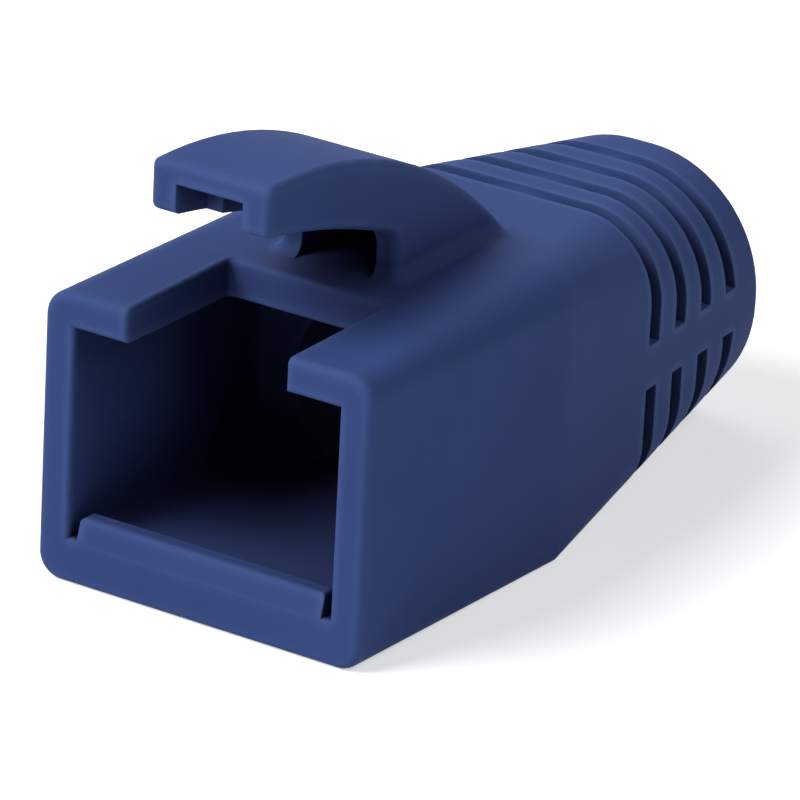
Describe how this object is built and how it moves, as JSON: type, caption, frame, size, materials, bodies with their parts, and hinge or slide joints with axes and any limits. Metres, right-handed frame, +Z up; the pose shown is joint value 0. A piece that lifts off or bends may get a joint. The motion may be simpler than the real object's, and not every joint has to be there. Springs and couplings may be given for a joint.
{
  "type": "modular plug strain relief boot",
  "caption": "Soft moulded boot that slips over the rear of a modular network plug, guards its latch with an arched tab and grips the cable in a grooved, tapered collar.",
  "frame": {"origin": "centre of the bounding box's bottom face, on the surface that the boot lies on", "axes": "+X across the boot, +Y from the plug's mouth to the cable exit, +Z up through the latch tab"},
  "size_m": [0.0144, 0.0304, 0.0176],
  "materials": {
    "boot_plastic": "matte"
  },
  "bodies": {
    "root": {"strain_relief_boot": "boot_plastic"}
  },
  "joints": []
}
